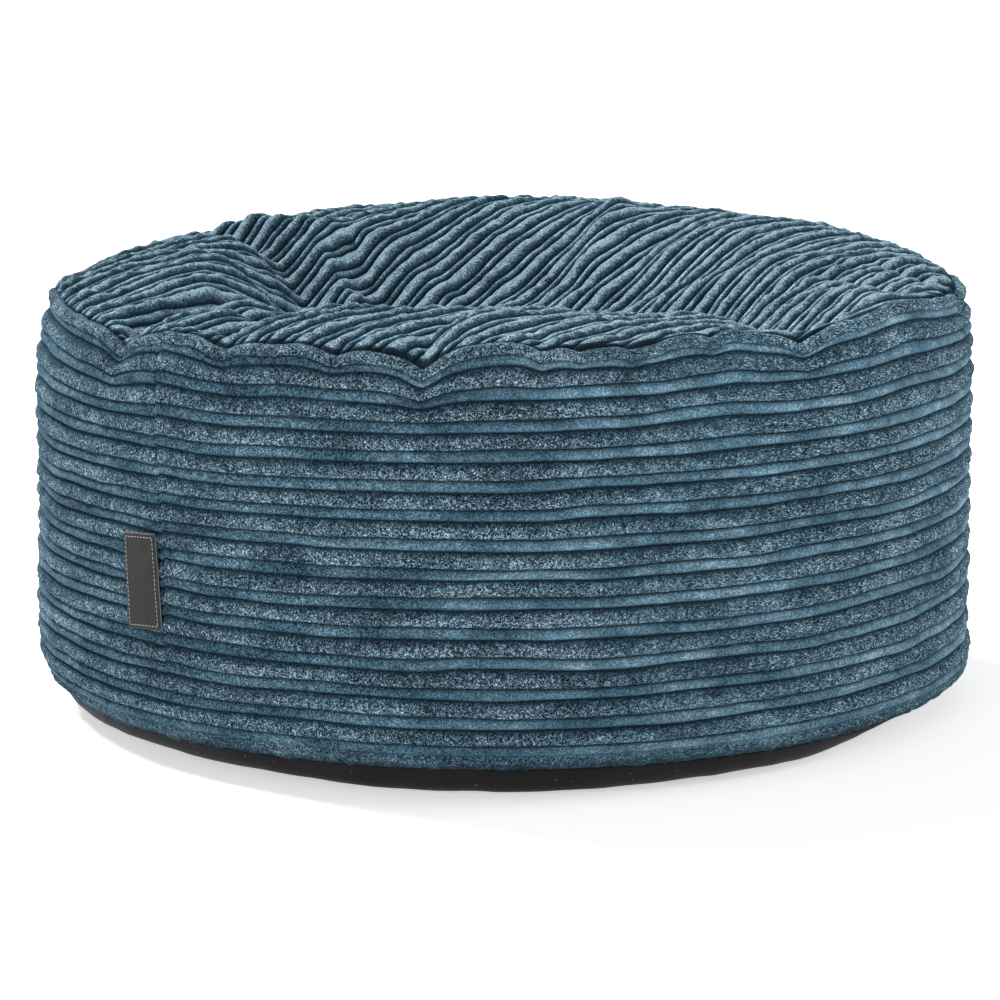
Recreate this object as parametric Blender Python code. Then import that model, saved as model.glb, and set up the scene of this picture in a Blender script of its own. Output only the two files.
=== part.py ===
"""Round corduroy pouf: a filled drum of wide cord with a dented, folded top.

Metres, +Z up, front at -Y. The base rests on z = 0 and the drum is centred on the z axis.
Azimuths are in degrees, 0 at the front and growing toward +X.
"""
import math
import bmesh
import bpy
from mathutils import Vector
from mathutils.geometry import delaunay_2d_cdt

# the drum
RADIUS = 0.300
SEAM_RADIUS = 0.285
SEAM_HEIGHT = 0.2585
LEAN = 0.007
BASE_HEIGHT = 0.0168
BASE_RADIUS = 0.2845
FLOOR_RADIUS = 0.276
GAP = 0.0003

# the cord: a wide wale and a narrow one in every pitch
PITCH = 0.01707
GROOVE_SIDE = 0.30 * PITCH
NARROW_SIDE = 0.50 * PITCH
GROOVE_DEPTH = 0.0032
NARROW_DEPTH = 0.0010
TOP_ANGLE = 49.0
TOP_PHASE = -0.2022
TOP_STEP = 0.024
LOWEST_WALE = 0.0384
SIDE_PITCH = 0.01715
SIDE_WALES = 13

SHARP_ANGLE = 50.0
COLUMNS = 60
COLUMN_STEP = 360.0 / COLUMNS

# outer radius of the side panel at each height
SIDE_PROFILE = [
    (0.0171, 0.2880),
    (0.0240, 0.2945),
    (0.0330, 0.2985),
    (0.0450, 0.3000),
    (0.2100, 0.3000),
    (0.2350, 0.2985),
    (0.2457, 0.2965),
    (0.2528, 0.2935),
    (0.2590, 0.2905),
]

# puckers of the rim seam: azimuth, half width in degrees, depth
NOTCHES = [
    (-51.5, 3.4, 0.0092),
    (-33.7, 3.0, 0.0045),
    (-19.3, 3.0, 0.0046),
    (-9.2, 3.4, 0.0117),
    (4.2, 2.4, 0.0042),
    (8.4, 2.2, 0.0024),
    (14.2, 2.4, 0.0034),
    (24.1, 2.4, 0.0032),
    (36.6, 3.4, 0.0085),
    (78.0, 3.0, 0.0050),
    (97.0, 3.0, 0.0030),
    (114.0, 3.0, 0.0060),
    (133.0, 3.0, 0.0030),
    (150.0, 3.0, 0.0055),
    (-168.0, 3.0, 0.0060),
    (-149.0, 3.0, 0.0035),
    (-132.0, 3.0, 0.0055),
    (-112.0, 3.0, 0.0040),
]
NOTCH_REACH = 0.036
NOTCH_PINCH = 0.25

# swells of the rim between the puckers, the left end the highest: azimuth, half width, height
SWELLS = [
    (-81.0, 14.0, 0.0115),
    (-64.0, 7.0, 0.0025),
    (-42.0, 5.5, 0.0045),
    (-26.5, 5.0, 0.0018),
    (-0.5, 5.0, 0.0020),
    (21.5, 3.5, 0.0030),
    (28.5, 3.5, 0.0035),
    (56.0, 10.0, 0.0060),
    (112.0, 8.0, 0.0020),
    (165.0, 9.0, 0.0030),
    (-140.0, 8.0, 0.0030),
]

# the roll around the dent, every 30 degrees from the back:
# crest height, crest radius and the radius of the flat floor, in shares of the drum's radius
CREST = [
    (1.003, 0.58, 0.00),
    (0.985, 0.62, 0.05),
    (0.965, 0.68, 0.20),
    (0.945, 0.64, 0.40),
    (0.895, 0.70, 0.44),
    (0.898, 0.70, 0.30),
    (0.900, 0.68, 0.10),
    (0.882, 0.72, 0.10),
    (0.905, 0.78, 0.25),
    (0.945, 0.66, 0.12),
    (0.978, 0.58, 0.00),
    (0.993, 0.58, 0.00),
]
CREST_STEP = 30.0
DENT_FLOOR = 0.80
SHOULDER_POWER = 2.4

# folds of the top: corners in shares of the drum's radius, half width share, height, end fade
FOLDS = [
    ([(-0.72, 0.55), (-0.57, 0.37), (-0.484, 0.284), (-0.38, 0.05), (-0.33, -0.11)], 0.085, -0.020, 0.3),
    ([(-0.80, -0.60), (-0.72, -0.53), (-0.65, -0.42), (-0.57, -0.31), (-0.50, -0.23)], 0.04, -0.024, 0.15),
    ([(-0.66, -0.80), (-0.56, -0.69), (-0.46, -0.56), (-0.42, -0.38)], 0.055, -0.013, 0.15),
    ([(-0.72, 0.48), (-0.56, 0.48), (-0.42, 0.42), (-0.32, 0.36)], 0.05, 0.007, 0.3),
    ([(0.60, -0.76), (0.56, -0.60), (0.50, -0.42), (0.42, -0.28), (0.30, -0.16)], 0.085, -0.019, 0.15),
    ([(0.76, -0.60), (0.72, -0.46), (0.64, -0.34)], 0.060, 0.006, 0.3),
    ([(0.30, 0.62), (0.24, 0.42), (0.20, 0.27), (0.16, 0.12)], 0.05, 0.006, 0.3),
    ([(0.45, 0.47), (0.36, 0.30), (0.28, 0.15), (0.22, 0.02)], 0.05, -0.005, 0.3),
]

# the hidden face between the top and the side, as radius shares of the seam and heights
INNER_RINGS = [(0.80, 0.55), (0.42, 0.0)]
INNER_HEIGHT = 0.190

# the closing seam down the side and the label beside it
CLOSING_SEAM = -42.0
CLOSING_DEPTH = 0.0016
LABEL_SIZE = (0.0295, 0.0575)
LABEL_HEIGHT = 0.1125
LABEL_MIDDLE = -45.2
LABEL_TILT = 4.5
LABEL_THICK = 0.0014
LABEL_COLUMNS = 6

CORD_COLOUR = (0.085, 0.170, 0.225, 1.0)
BASE_COLOUR = (0.012, 0.012, 0.013, 1.0)
LABEL_COLOUR = (0.060, 0.062, 0.065, 1.0)


def turn(degrees):
    """The angle brought between -180 and 180."""
    return (degrees + 180.0) % 360.0 - 180.0


def smooth(t):
    t = min(max(t, 0.0), 1.0)
    return t * t * (3.0 - 2.0 * t)


def bell(distance, width):
    return math.exp(-(distance / width) ** 2)


def notch_depth(azimuth):
    return sum(depth * bell(turn(azimuth - at), width) for at, width, depth in NOTCHES)


def swell(azimuth):
    return sum(height * bell(turn(azimuth - at), width) for at, width, height in SWELLS)


def lean(azimuth):
    return LEAN * math.sin(math.radians(azimuth))


def seam_height(azimuth):
    return SEAM_HEIGHT + lean(azimuth) + swell(azimuth) - notch_depth(azimuth)


def polar(radius, azimuth):
    angle = math.radians(azimuth)
    return radius * math.sin(angle), -radius * math.cos(angle)


def column_azimuths():
    """Even columns, the nearest one moved onto each pucker of the rim."""
    found = [-180.0 + COLUMN_STEP * i for i in range(COLUMNS)]
    for at, _, _ in NOTCHES:
        nearest = min(range(COLUMNS), key=lambda i: abs(turn(found[i] - at)))
        found[nearest] = at
    return found


def crest(azimuth):
    """Crest height, crest radius and floor radius of the roll at an azimuth."""
    place = (turn(azimuth) + 180.0) / CREST_STEP
    low = int(math.floor(place)) % len(CREST)
    high = (low + 1) % len(CREST)
    share = smooth(place - math.floor(place))
    return [RADIUS * (a + (b - a) * share) for a, b in zip(CREST[low], CREST[high])]


def fold_height(x, y, corners, width, height, fade):
    """Height added by one fold, which runs along a line of corners."""
    points = [(px * RADIUS, py * RADIUS) for px, py in corners]
    lengths = [math.dist(a, b) for a, b in zip(points, points[1:])]
    total = sum(lengths)
    nearest, along, passed = 1.0, 0.0, 0.0
    for (ax, ay), (bx, by), length in zip(points, points[1:], lengths):
        share = ((x - ax) * (bx - ax) + (y - ay) * (by - ay)) / length ** 2
        share = min(max(share, 0.0), 1.0)
        gap = math.hypot(x - ax - share * (bx - ax), y - ay - share * (by - ay))
        if gap < nearest:
            nearest = gap
            along = (passed + share * length) / total
        passed += length
    ends = smooth(along / fade) * smooth((1.0 - along) / fade)
    return height * ends * bell(nearest, width * RADIUS)


def top_height(x, y):
    """Height of the top panel's cloth, without its ribs."""
    azimuth = math.degrees(math.atan2(x, -y))
    radius = math.hypot(x, y)
    rim = seam_height(azimuth)
    high, crest_radius, floor_radius = crest(azimuth)
    if radius > crest_radius:
        share = min((radius - crest_radius) / (SEAM_RADIUS - crest_radius), 1.0)
        height = rim + (high - rim) * math.sqrt(1.0 - share ** SHOULDER_POWER)
    else:
        floor = DENT_FLOOR * RADIUS
        share = (radius - floor_radius) / (crest_radius - floor_radius)
        height = floor + (high - floor) * smooth(share)
    inside = smooth((SEAM_RADIUS - radius) / (0.10 * RADIUS))
    for corners, width, amount, fade in FOLDS:
        height += inside * fold_height(x, y, corners, width, amount, fade)
    return height


def new_object(name, colour, roughness):
    mesh = bpy.data.meshes.new(name)
    thing = bpy.data.objects.new(name, mesh)
    bpy.context.scene.collection.objects.link(thing)
    material = bpy.data.materials.new(name)
    material.use_nodes = True
    shader = material.node_tree.nodes["Principled BSDF"]
    shader.inputs["Base Color"].default_value = colour
    shader.inputs["Roughness"].default_value = roughness
    material.diffuse_color = colour
    mesh.materials.append(material)
    return thing


def finish(thing, solid):
    """Triangles, outward faces, and the mesh handed to its object."""
    bmesh.ops.triangulate(solid, faces=solid.faces[:])
    bmesh.ops.recalc_face_normals(solid, faces=solid.faces[:])
    if solid.calc_volume(signed=True) < 0.0:
        bmesh.ops.reverse_faces(solid, faces=solid.faces[:])
    solid.to_mesh(thing.data)
    solid.free()
    thing.data.shade_smooth()
    thing.data.set_sharp_from_angle(angle=math.radians(SHARP_ANGLE))


def ring(solid, radius_at, height_at, azimuths):
    """One closed ring of points around the drum."""
    points = []
    for azimuth in azimuths:
        x, y = polar(radius_at(azimuth), azimuth)
        points.append(solid.verts.new((x, y, height_at(azimuth))))
    return points


def bridge(solid, lower, upper):
    count = len(lower)
    for i in range(count):
        j = (i + 1) % count
        solid.faces.new((lower[i], lower[j], upper[j], upper[i]))


def close_ring(solid, points, height):
    middle = solid.verts.new((0.0, 0.0, height))
    count = len(points)
    for i in range(count):
        solid.faces.new((points[i], points[(i + 1) % count], middle))


def inner_face(solid, edge, azimuths, shift):
    """The hidden face under the top panel, inward from a ring on the rim seam."""
    last = edge
    for share, weight in INNER_RINGS:
        def height_at(azimuth, weight=weight):
            rim = seam_height(azimuth)
            return INNER_HEIGHT + (rim - INNER_HEIGHT) * weight + shift

        points = ring(solid, lambda azimuth, share=share: SEAM_RADIUS * share, height_at, azimuths)
        bridge(solid, last, points)
        last = points
    close_ring(solid, last, INNER_HEIGHT + shift)


def profile_radius(height):
    """Outer radius of the side panel, read from its short table."""
    if height <= SIDE_PROFILE[0][0]:
        return SIDE_PROFILE[0][1]
    for (low, low_radius), (high, high_radius) in zip(SIDE_PROFILE, SIDE_PROFILE[1:]):
        if height <= high:
            share = (height - low) / (high - low)
            return low_radius + (high_radius - low_radius) * share
    return SIDE_PROFILE[-1][1]


def side_rows():
    """Heights and depths of the side's rows, from the lower edge to the rim rib."""
    rows = [(0.0171, 0.0), (0.0215, 0.0), (0.0263, GROOVE_DEPTH)]
    rows.append((LOWEST_WALE - NARROW_SIDE, NARROW_DEPTH))
    for i in range(SIDE_WALES):
        middle = LOWEST_WALE + SIDE_PITCH * i
        rows.append((middle - GROOVE_SIDE, GROOVE_DEPTH))
        rows.append((middle, 0.0))
        rows.append((middle + GROOVE_SIDE, GROOVE_DEPTH))
        rows.append((middle + NARROW_SIDE, NARROW_DEPTH))
    rows.append((0.2556, GROOVE_DEPTH))
    rows.append((0.2590, 0.0))
    return rows


def row_height(height, azimuth):
    """A row's height once the lean, the swell and the puckers of the rim are added."""
    up = smooth(1.0 - (SEAM_HEIGHT - height) / NOTCH_REACH)
    moved = height + lean(azimuth) * height / SEAM_HEIGHT
    return moved + (swell(azimuth) - notch_depth(azimuth)) * up


def row_radius(height, depth, azimuth):
    up = smooth(1.0 - (SEAM_HEIGHT - height) / NOTCH_REACH)
    radius = profile_radius(height) - depth
    radius -= NOTCH_PINCH * notch_depth(azimuth) * up
    return radius - CLOSING_DEPTH * bell(turn(azimuth - CLOSING_SEAM), 1.5)


def build_side(azimuths):
    """The filled drum of horizontal ribs, from above the base up to the rim seam."""
    thing = new_object("side_panel", CORD_COLOUR, 0.9)
    solid = bmesh.new()
    first = last = None
    for height, depth in side_rows():
        def radius_at(azimuth, height=height, depth=depth):
            return row_radius(height, depth, azimuth)

        def height_at(azimuth, height=height):
            return height if height < 0.02 else row_height(height, azimuth)

        points = ring(solid, radius_at, height_at, azimuths)
        if last:
            bridge(solid, last, points)
        first = first or points
        last = points
    edge = ring(solid, lambda a: SEAM_RADIUS, lambda a: seam_height(a) - GAP, azimuths)
    bridge(solid, last, edge)
    inner_face(solid, edge, azimuths, -GAP)
    close_ring(solid, first, 0.0171)
    finish(thing, solid)


def rib_lines():
    """Offset across the cord and depth of every line of the top's ribs."""
    lines = []
    reach = int(2.0 * RADIUS / PITCH)
    for i in range(-reach, reach + 1):
        middle = TOP_PHASE + i * PITCH
        lines.append((middle - GROOVE_SIDE, GROOVE_DEPTH))
        lines.append((middle, 0.0))
        lines.append((middle + GROOVE_SIDE, GROOVE_DEPTH))
        lines.append((middle + NARROW_SIDE, NARROW_DEPTH))
    return lines


def build_top(azimuths):
    """The dented top: straight ribs in plan, draped over the folds, filled down to the seam."""
    thing = new_object("top_panel", CORD_COLOUR, 0.9)
    solid = bmesh.new()
    edge = [Vector(polar(SEAM_RADIUS, azimuth)) for azimuth in azimuths]
    count = len(edge)
    points = list(edge)
    depths = [0.0] * count
    joins = [(i, (i + 1) % count) for i in range(count)]
    angle = math.radians(TOP_ANGLE)
    along = Vector((math.cos(angle), math.sin(angle)))
    across = Vector((-math.sin(angle), math.cos(angle)))
    inside = SEAM_RADIUS - 0.006
    for offset, depth in rib_lines():
        if abs(offset) > inside - 0.002:
            continue
        half = math.sqrt(inside ** 2 - offset ** 2)
        steps = max(1, round(2.0 * half / TOP_STEP))
        for i in range(steps + 1):
            place = -half + 2.0 * half * i / steps
            if i:
                joins.append((len(points) - 1, len(points)))
            points.append(along * place + across * offset)
            depths.append(depth)
    found = delaunay_2d_cdt(points, joins, [list(range(count))], 1, 1e-6)
    corners, _, faces, origins = found[0], found[1], found[2], found[3]
    verts = []
    for corner, origin in zip(corners, origins):
        first = min(origin) if origin else count
        if first < count:
            azimuth = azimuths[first]
            verts.append(solid.verts.new((corner.x, corner.y, seam_height(azimuth) + GAP)))
        else:
            height = top_height(corner.x, corner.y) - depths[first]
            verts.append(solid.verts.new((corner.x, corner.y, height)))
    for face in faces:
        solid.faces.new([verts[i] for i in face])
    rim = [None] * count
    for vert, origin in zip(verts, origins):
        first = min(origin) if origin else count
        if first < count:
            rim[first] = vert
    inner_face(solid, rim, azimuths, GAP)
    finish(thing, solid)


def build_base(azimuths):
    """The shallow black cushion under the drum, flat where it rests."""
    thing = new_object("base_panel", BASE_COLOUR, 0.85)
    solid = bmesh.new()
    rows = [(0.0, FLOOR_RADIUS), (0.0035, 0.2815), (0.0090, 0.2840), (BASE_HEIGHT, BASE_RADIUS)]
    first = last = None
    for height, radius in rows:
        points = ring(solid, lambda a, r=radius: r, lambda a, z=height: z, azimuths)
        if last:
            bridge(solid, last, points)
        first = first or points
        last = points
    solid.faces.new(first)
    solid.faces.new(last)
    finish(thing, solid)


def build_label():
    """A thin flat tab that follows the drum beside the closing seam, tilted a little."""
    thing = new_object("label", LABEL_COLOUR, 0.6)
    solid = bmesh.new()
    width, tall = LABEL_SIZE
    tilt = math.radians(LABEL_TILT)
    near = RADIUS + GAP
    sheets = []
    for radius in (near, near + LABEL_THICK):
        rows = []
        for up in (-0.5 * tall, 0.5 * tall):
            row = []
            for i in range(LABEL_COLUMNS + 1):
                along = width * (i / LABEL_COLUMNS - 0.5)
                shift = along * math.cos(tilt) - up * math.sin(tilt)
                x, y = polar(radius, LABEL_MIDDLE + math.degrees(shift / RADIUS))
                height = LABEL_HEIGHT + along * math.sin(tilt) + up * math.cos(tilt)
                row.append(solid.verts.new((x, y, height)))
            rows.append(row)
        sheets.append(rows)
    (back_low, back_high), (front_low, front_high) = sheets
    for i in range(LABEL_COLUMNS):
        solid.faces.new((front_low[i], front_low[i + 1], front_high[i + 1], front_high[i]))
        solid.faces.new((back_low[i], back_high[i], back_high[i + 1], back_low[i + 1]))
        solid.faces.new((back_low[i], back_low[i + 1], front_low[i + 1], front_low[i]))
        solid.faces.new((front_high[i], front_high[i + 1], back_high[i + 1], back_high[i]))
    for i in (0, LABEL_COLUMNS):
        solid.faces.new((back_low[i], front_low[i], front_high[i], back_high[i]))
    finish(thing, solid)


for old in list(bpy.data.objects):
    bpy.data.objects.remove(old, do_unlink=True)

columns = column_azimuths()
build_top(columns)
build_side(columns)
build_base(columns)
build_label()
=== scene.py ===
"""Round corduroy pouf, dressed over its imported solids: fine wales, folds, base cloth and label."""
import math

import bpy
import numpy as np
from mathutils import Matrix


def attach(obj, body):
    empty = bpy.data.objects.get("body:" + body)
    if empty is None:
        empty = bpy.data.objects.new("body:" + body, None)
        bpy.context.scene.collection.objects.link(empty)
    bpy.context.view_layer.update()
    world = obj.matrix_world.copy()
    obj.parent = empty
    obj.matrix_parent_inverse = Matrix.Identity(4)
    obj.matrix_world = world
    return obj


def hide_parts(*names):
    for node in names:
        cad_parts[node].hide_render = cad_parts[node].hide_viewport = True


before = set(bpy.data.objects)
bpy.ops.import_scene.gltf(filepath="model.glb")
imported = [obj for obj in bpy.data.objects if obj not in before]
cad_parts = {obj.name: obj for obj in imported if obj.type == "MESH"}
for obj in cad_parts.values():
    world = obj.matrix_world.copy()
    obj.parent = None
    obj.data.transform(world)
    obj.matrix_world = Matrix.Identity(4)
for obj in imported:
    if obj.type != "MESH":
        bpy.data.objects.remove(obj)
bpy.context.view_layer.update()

# the drum, in metres, as the solids have it
RADIUS = 0.300
SEAM_RADIUS = 0.285
SEAM_HEIGHT = 0.2585
LEAN = 0.007
BASE_HEIGHT = 0.0168

# the cord: a pitch is one wide and one narrow wale, and a half is half the wide one's share of it
PITCH = 0.01707
TOP_ANGLE = 49.0
TOP_PHASE = -0.2022
LOWEST_WALE = 0.0384
SIDE_PITCH = 0.01715
TOP_HALF = 0.33
SIDE_HALF = 0.30

# how far a wide and a narrow wale stand up, and how far the top's edge is drawn down
TOP_RISE = (0.0054, 0.0034)
SIDE_RISE = (0.0042, 0.0035)
TOP_SINK = 0.0030

# a wale's cross section: where points lie, in shares of its width, the skew of a wide one and
# the two powers that shape the bulge
WIDE_STEPS = (0.0, 0.04, 0.11, 0.22, 0.37, 0.54, 0.72, 0.87, 0.97)
NARROW_STEPS = (0.0, 0.10, 0.30, 0.50, 0.70, 0.90)
WIDE_SKEW = 0.70
BULGE_POWERS = (2.2, 0.7)
TOP_COLUMNS = 330
SIDE_COLUMNS = 800
BASE_COLUMNS = 300

# height and radius of the side, without its wales
SIDE_PROFILE = [
    (0.0171, 0.2880),
    (0.0240, 0.2945),
    (0.0330, 0.2985),
    (0.0450, 0.3000),
    (0.2100, 0.3000),
    (0.2350, 0.2985),
    (0.2457, 0.2965),
    (0.2528, 0.2935),
    (0.2590, 0.2905),
]

# rows under the side's lower edge: height, radius, wale mask, share across and rise; their low rise is
# painted shade under the edge
UNDER_ROWS = [(0.0172, 0.2700, 1.0, 0.0, 0.0), (0.0171, 0.2860, 1.0, 0.2, 0.2)]
HEM_SHARES = (0.0, 0.3, 0.6, 0.85)
HEM_TOP = 0.0175

# the plump wale on the rim: height and radius of its middle, its half height and half width,
# the degrees where its bend starts and how far it runs, and its last row, whose rise of nought is
# painted shade where the roll meets the top's tucked edge
ROLL_FOOT = 0.2543
ROLL_MIDDLE = (0.2570, 0.2890)
ROLL_HALF = (0.0037, 0.0048)
ROLL_BEND = (-70.0, 215.0)
ROLL_SHARES = (0.0, 0.06, 0.16, 0.3, 0.45, 0.6, 0.75, 0.88, 1.0)
ROLL_END = (0.2566, 0.2835, 1.0, 1.0, 0.0)

# height and radius of the base cloth, from the middle of its flat face to its inner edge
BASE_PROFILE = [
    (0.0, 0.02),
    (0.0, 0.10),
    (0.0, 0.18),
    (0.0, 0.235),
    (0.0, 0.250),
    (0.0, 0.2620),
    (0.0, 0.2700),
    (0.0, 0.2740),
    (0.0004, 0.2775),
    (0.0018, 0.2802),
    (0.0042, 0.2822),
    (0.0075, 0.2836),
    (0.0115, 0.2845),
    (0.0150, 0.2849),
    (0.0168, 0.2850),
    (0.0168, 0.2800),
    (0.0168, 0.2600),
]

# how far the base's edge is drawn up: the usual lift, the share of it that stays off where the
# front lies flat, the further lift at the right, and the most of all
EDGE_LIFT = 0.0058
FLAT_SHARE = 0.9
RIGHT_LIFT = 0.0090
MOST_LIFT = 0.0158

# puckers of the rim seam: azimuth, half width in degrees, depth
NOTCHES = [
    (-51.5, 2.6, 0.0092),
    (-33.7, 2.0, 0.0045),
    (-19.3, 1.9, 0.0046),
    (-9.2, 2.5, 0.0117),
    (4.2, 1.2, 0.0042),
    (8.4, 1.0, 0.0024),
    (14.2, 1.3, 0.0034),
    (24.1, 1.0, 0.0032),
    (36.6, 3.0, 0.0085),
    (78.0, 2.0, 0.0050),
    (97.0, 1.6, 0.0030),
    (114.0, 2.2, 0.0060),
    (133.0, 1.4, 0.0030),
    (150.0, 2.2, 0.0055),
    (-168.0, 2.2, 0.0060),
    (-149.0, 1.5, 0.0035),
    (-132.0, 2.2, 0.0055),
    (-112.0, 1.8, 0.0040),
]
NOTCH_PINCH = 0.25

# a pucker is felt this far below the seam, and this many of its depths further
NOTCH_REACH = (0.012, 2.6)

# swells of the rim between the puckers: azimuth, half width in degrees, height
SWELLS = [
    (-81.0, 14.0, 0.0115),
    (-64.0, 7.0, 0.0025),
    (-42.0, 5.5, 0.0045),
    (-26.5, 5.0, 0.0018),
    (-0.5, 5.0, 0.0020),
    (21.5, 3.5, 0.0030),
    (26.5, 3.2, 0.0035),
    (56.0, 10.0, 0.0060),
    (112.0, 8.0, 0.0020),
    (165.0, 9.0, 0.0030),
    (-140.0, 8.0, 0.0030),
]
SWELL_REACH = 0.070

# the roll around the dent, every 30 degrees from the back: height of its crest, radius of the
# crest and radius of the dent's floor, in shares of the drum's radius
CREST = np.array([
    (1.003, 0.58, 0.00),
    (0.985, 0.62, 0.05),
    (0.965, 0.68, 0.20),
    (0.945, 0.64, 0.40),
    (0.895, 0.70, 0.44),
    (0.898, 0.70, 0.30),
    (0.900, 0.68, 0.10),
    (0.882, 0.72, 0.10),
    (0.905, 0.78, 0.25),
    (0.945, 0.66, 0.12),
    (0.978, 0.58, 0.00),
    (0.993, 0.58, 0.00),
])
CREST_STEP = 30.0
DENT_FLOOR = 0.80
SHOULDER_POWER = 2.4

# places around the drum: azimuth, half width in degrees, amount
SOFT_SHOULDER = (-78.0, 38.0, 0.26)
TOP_PUSHED = (-84.0, 34.0, 0.0030)
RIM_DRAWN = (-88.0, 30.0, 0.0042)
SHALLOW_WALES = (-26.0, 34.0, 0.56)
LOW_BULGE = (83.0, 14.0, 0.0058)

# folds of the top: corners in shares of the radius, half width as a share of it, height, the
# share of the length over which the ends fade, and the power of the flanks
FOLDS = [
    ([(-0.72, 0.55), (-0.57, 0.37), (-0.484, 0.284), (-0.38, 0.05), (-0.33, -0.11)],
     0.085, -0.021, 0.3, 1.3),
    ([(-0.80, -0.60), (-0.72, -0.53), (-0.65, -0.42), (-0.57, -0.31), (-0.50, -0.23)],
     0.038, -0.034, 0.10, 1.5),
    ([(-0.66, -0.80), (-0.56, -0.69), (-0.46, -0.56), (-0.42, -0.38)],
     0.055, -0.014, 0.15, 1.3),
    ([(-0.68, -0.42), (-0.635, -0.47), (-0.55, -0.50), (-0.455, -0.54), (-0.40, -0.52)],
     0.020, -0.007, 0.25, 1.2),
    ([(-0.72, 0.48), (-0.56, 0.48), (-0.42, 0.42), (-0.32, 0.36)],
     0.045, 0.008, 0.3, 1.7),
    ([(-0.74, 0.60), (-0.58, 0.58), (-0.42, 0.52), (-0.30, 0.44)],
     0.035, -0.006, 0.3, 1.3),
    ([(0.60, -0.76), (0.56, -0.60), (0.50, -0.42), (0.42, -0.28), (0.30, -0.16)],
     0.085, -0.021, 0.12, 1.4),
    ([(0.76, -0.60), (0.72, -0.46), (0.64, -0.34)],
     0.060, 0.006, 0.3, 1.8),
    ([(0.30, 0.62), (0.24, 0.42), (0.20, 0.27), (0.16, 0.12)],
     0.045, 0.007, 0.3, 1.5),
    ([(0.45, 0.47), (0.36, 0.30), (0.28, 0.15), (0.22, 0.02)],
     0.045, -0.006, 0.3, 1.4),
    ([(-0.44, 0.42), (-0.39, 0.28), (-0.33, 0.16), (-0.27, 0.05)],
     0.030, 0.006, 0.3, 1.6),
    ([(-0.36, 0.44), (-0.31, 0.30), (-0.25, 0.18), (-0.19, 0.07)],
     0.030, -0.004, 0.3, 1.5),
    ([(-0.15, -0.95), (-0.14, -0.86), (-0.10, -0.76), (-0.055, -0.68), (-0.03, -0.61)],
     0.026, -0.004, 0.15, 1.3),
    ([(-0.10, -0.94), (-0.06, -0.84), (-0.02, -0.74), (0.03, -0.66)],
     0.060, 0.003, 0.3, 1.8),
    ([(0.84, -0.40), (0.76, -0.30), (0.70, -0.22), (0.64, -0.10)],
     0.025, -0.004, 0.3, 1.3),
    ([(0.90, -0.26), (0.83, -0.16), (0.76, -0.05)],
     0.025, -0.004, 0.3, 1.3),
]
FOLD_MARGIN = 0.065 * RADIUS
STILL_EDGE = 0.02

# where the top's cloth is gathered most: x, y, half width, share; and the depth of its short
# waves everywhere and there
CROWDS = [(-0.150, 0.080, 0.100, 1.0), (0.230, -0.060, 0.070, 0.7)]
WAVE_DEPTH = (0.0007, 0.0016)

# the top's edge is tucked under the rim's wale
EDGE_STRIP = 0.0008
EDGE_LIMIT = 0.0005
TUCK_RADIUS = 0.2872
TUCK_DEPTH = 0.0030
SLOPE_STEP = 0.0005

# soft unevenness, in layers: how much, over what length, and a seed
TOP_LUMPS = [(0.0014, 0.055, 3)]
TOP_DRIFT = [(0.0013, 0.050, 15), (0.0007, 0.022, 17)]
TOP_TUFT = [(0.18, 0.010, 11), (0.20, 0.0042, 13)]
SIDE_OUT = [(0.0011, 0.070, 21), (0.0006, 0.030, 23)]
SIDE_UP = [(0.0013, 0.060, 25), (0.0006, 0.025, 27)]
SIDE_TUFT = [(0.18, 0.010, 31), (0.20, 0.0042, 33)]
ROLL_OUT = [(0.0011, 0.024, 37)]
ROLL_UP = [(0.0012, 0.017, 39)]
FRINGE_UP = [(0.0013, 0.0042, 35)]
FRINGE_OUT = [(0.0011, 0.0050, 49)]
BASE_OUT = [(0.0007, 0.040, 41), (0.0004, 0.012, 43)]
BASE_LIFT = [(0.20, 0.060, 45)]

# the closing seam of the side, and its close columns in degrees to each side
CLOSING_SEAM = -42.0
SEAM_COLUMNS = (0.06, 0.16, 0.28, 0.45, 0.75)
SEAM_GROOVE = 0.0009
SEAM_STEP = 0.0008

LABEL_WIDE = 0.0295
LABEL_TALL = 0.0575
LABEL_HEIGHT = 0.1125
LABEL_MIDDLE = -45.2
LABEL_TILT = 4.5
LABEL_THICK = 0.0014
LABEL_GAP = 0.0003
LABEL_CORNER = 0.0022
LABEL_CURL = 0.0006
LABEL_COLUMNS = 28
LABEL_ROWS = 58

STITCH_INSET = 0.0024
STITCH_PITCH = 0.0027
STITCH_SHARE = 0.64
STITCH_HALF = 0.00022
STITCH_BENDS = 4
STITCH_SIDES = 6

GREY_LEATHER = ((0.0105, 0.0105, 0.0112), (0.022, 0.022, 0.023))
CUT_LEATHER = ((0.16, 0.16, 0.155), (0.28, 0.28, 0.27))
WHITE = (1.0, 1.0, 1.0, 1.0)
PALE = (0.86, 0.86, 0.86, 1.0)
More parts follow.
